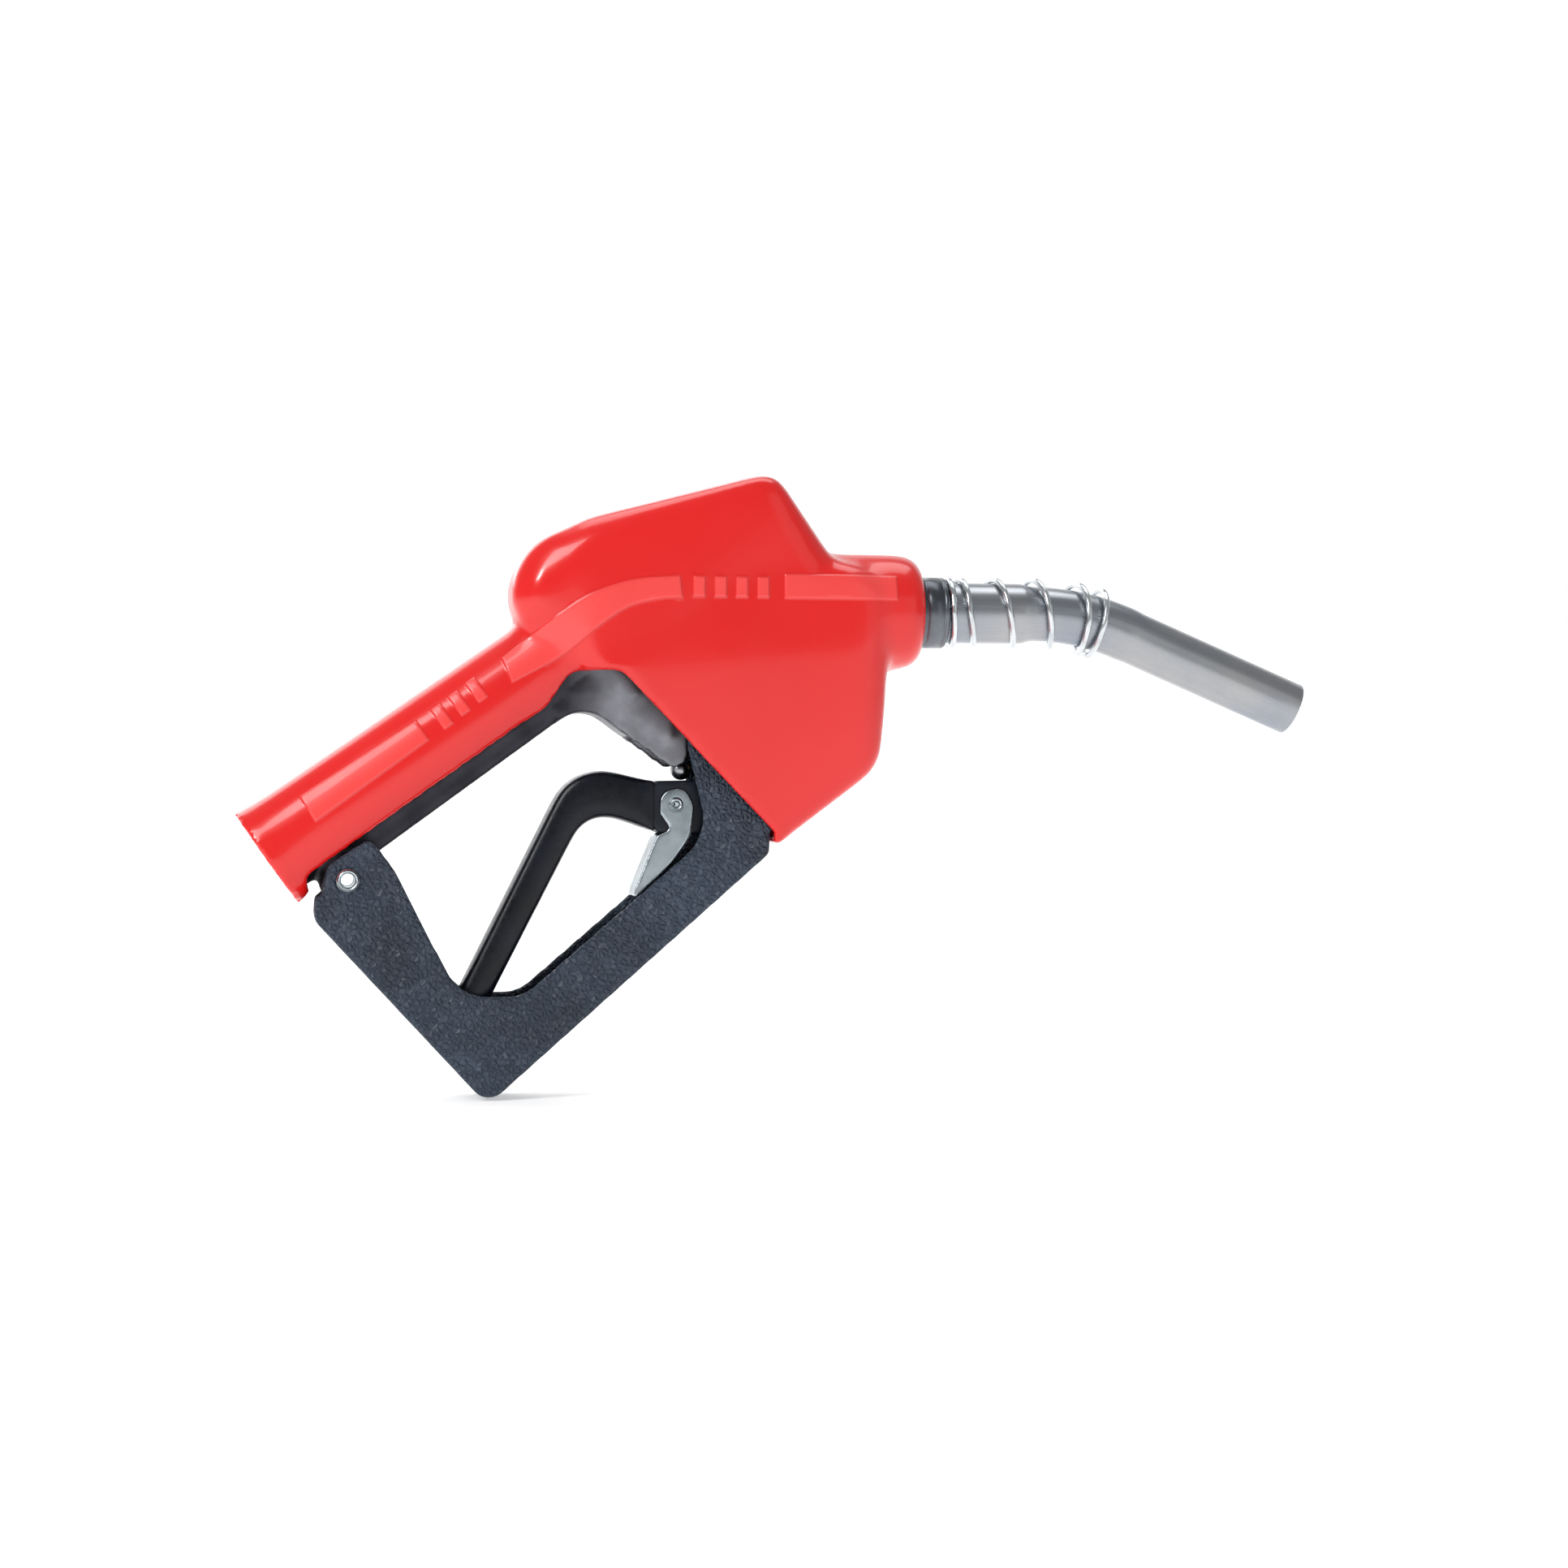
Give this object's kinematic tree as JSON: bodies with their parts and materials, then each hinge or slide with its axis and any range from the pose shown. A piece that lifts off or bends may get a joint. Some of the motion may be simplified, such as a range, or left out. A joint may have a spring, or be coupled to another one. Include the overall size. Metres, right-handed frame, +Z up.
{
  "type": "fuel nozzle",
  "caption": "Automatic shut-off fuel nozzle with a moulded cover, a guarded hand lever with a hold-open clip, and a bent metal spout with an anchor spring.",
  "frame": {"origin": "centre of the hose inlet's mouth at the handle's rear end", "axes": "+X along the nose towards the spout, +Z up towards the diaphragm cap, Y across; the part is symmetric about XZ"},
  "size_m": [0.4197, 0.054, 0.2365],
  "materials": {
    "cast_body": "satin",
    "cover_vinyl": "gloss",
    "guard_plastic": "leather grain",
    "plated_rivet": "bright zinc",
    "rack_steel": "satin",
    "lever_paint": "satin",
    "lever_vinyl": "satin",
    "pin_steel": "ground",
    "clip_steel": "zinc plated",
    "spring_steel": "drawn",
    "valve_brass": "turned",
    "seal_rubber": "matte",
    "cap_metal": "turned",
    "nut_metal": "satin",
    "spout_metal": "drawn",
    "vent_steel": "drawn",
    "anchor_wire": "bright"
  },
  "bodies": {
    "nozzle_body": {"body_casting": "cast_body", "inlet_insert": "cap_metal", "scuff_cover": "cover_vinyl", "lever_guard": "guard_plastic", "guard_rivet": "plated_rivet", "guard_screws": "plated_rivet", "hold_open_rack": "rack_steel", "poppet_spring": "spring_steel", "poppet_cap": "cap_metal", "poppet_cap_seal": "seal_rubber", "stem_packing": "seal_rubber", "packing_nut": "valve_brass", "plunger_guide": "valve_brass", "plunger_spring": "spring_steel", "diaphragm": "seal_rubber", "diaphragm_spring": "spring_steel", "diaphragm_cap": "cap_metal", "cap_screws": "plated_rivet", "check_seat": "valve_brass", "check_spring": "spring_steel", "spout_nut": "nut_metal", "nut_seal": "seal_rubber", "spout_tube": "spout_metal", "vent_tube": "vent_steel", "anchor_spring": "anchor_wire"},
    "main_valve": {"poppet_holder": "valve_brass", "poppet_disc": "seal_rubber", "disc_retainer": "valve_brass", "valve_stem": "pin_steel"},
    "plunger": {"trip_plunger": "pin_steel", "lever_pin": "pin_steel"},
    "lever": {"lever_core": "lever_paint", "lever_sleeve": "lever_vinyl", "clip_rivet": "plated_rivet", "clip_spring": "spring_steel"},
    "clip": {"hold_open_clip": "clip_steel"},
    "latch": {"latch_pin": "pin_steel", "diaphragm_plate": "cap_metal"},
    "ball_1": {"latch_ball_1": "pin_steel"},
    "ball_2": {"latch_ball_2": "pin_steel"},
    "ball_3": {"latch_ball_3": "pin_steel"},
    "check_valve": {"check_poppet": "valve_brass"}
  },
  "joints": [
    {"name": "trip_drop", "type": "slide", "parent": "nozzle_body", "child": "plunger", "axis": [0.2756, 0, -0.9613], "range_m": [0, 0.006], "stiffness_N_per_m": 600, "springref_m": -0.012, "deforming": ["plunger_spring"]},
    {"name": "lever_swing", "type": "hinge", "parent": "plunger", "child": "lever", "pos_m": [0.19043, 0, 0.02299], "axis": [0, 1, 0], "range_deg": [0, 12], "stiffness_Nm_per_rad": 2, "springref_deg": -11.46},
    {"name": "clip_swing", "type": "hinge", "parent": "lever", "child": "clip", "pos_m": [0.15383, 0, 0.02059], "axis": [0, -1, 0], "range_deg": [0, 12], "stiffness_Nm_per_rad": 0.05, "springref_deg": -22.92, "deforming": ["clip_spring"]},
    {"name": "valve_lift", "type": "slide", "parent": "nozzle_body", "child": "main_valve", "axis": [-0.5736, 0, 0.8192], "range_m": [0, 0.0105], "deforming": ["poppet_spring"]},
    {"name": "diaphragm_lift", "type": "slide", "parent": "nozzle_body", "child": "latch", "axis": [-0.2756, 0, 0.9613], "range_m": [0, 0.0023], "deforming": ["diaphragm_spring"]},
    {"name": "check_lift", "type": "slide", "parent": "nozzle_body", "child": "check_valve", "axis": [1, 0, 0], "range_m": [0, 0.005], "stiffness_N_per_m": 100, "springref_m": -0.01, "deforming": ["check_spring"]},
    {"name": "ball_1_slide", "type": "slide", "parent": "plunger", "child": "ball_1", "axis": [-0.9613, 0, -0.2756], "range_m": [0, 0.0014]},
    {"name": "ball_2_slide", "type": "slide", "parent": "plunger", "child": "ball_2", "axis": [0.4806, -0.866, 0.1378], "range_m": [0, 0.0014]},
    {"name": "ball_3_slide", "type": "slide", "parent": "plunger", "child": "ball_3", "axis": [0.4806, 0.866, 0.1378], "range_m": [0, 0.0014]}
  ],
  "couplings": [
    {"joint": "valve_lift", "follows": "lever_swing", "m_per_rad": 0.0495},
    {"joint": "diaphragm_lift", "follows": "trip_drop", "ratio": 0.375},
    {"joint": "ball_1_slide", "follows": "trip_drop", "ratio": 0.21667},
    {"joint": "ball_2_slide", "follows": "trip_drop", "ratio": 0.21667},
    {"joint": "ball_3_slide", "follows": "trip_drop", "ratio": 0.21667}
  ]
}
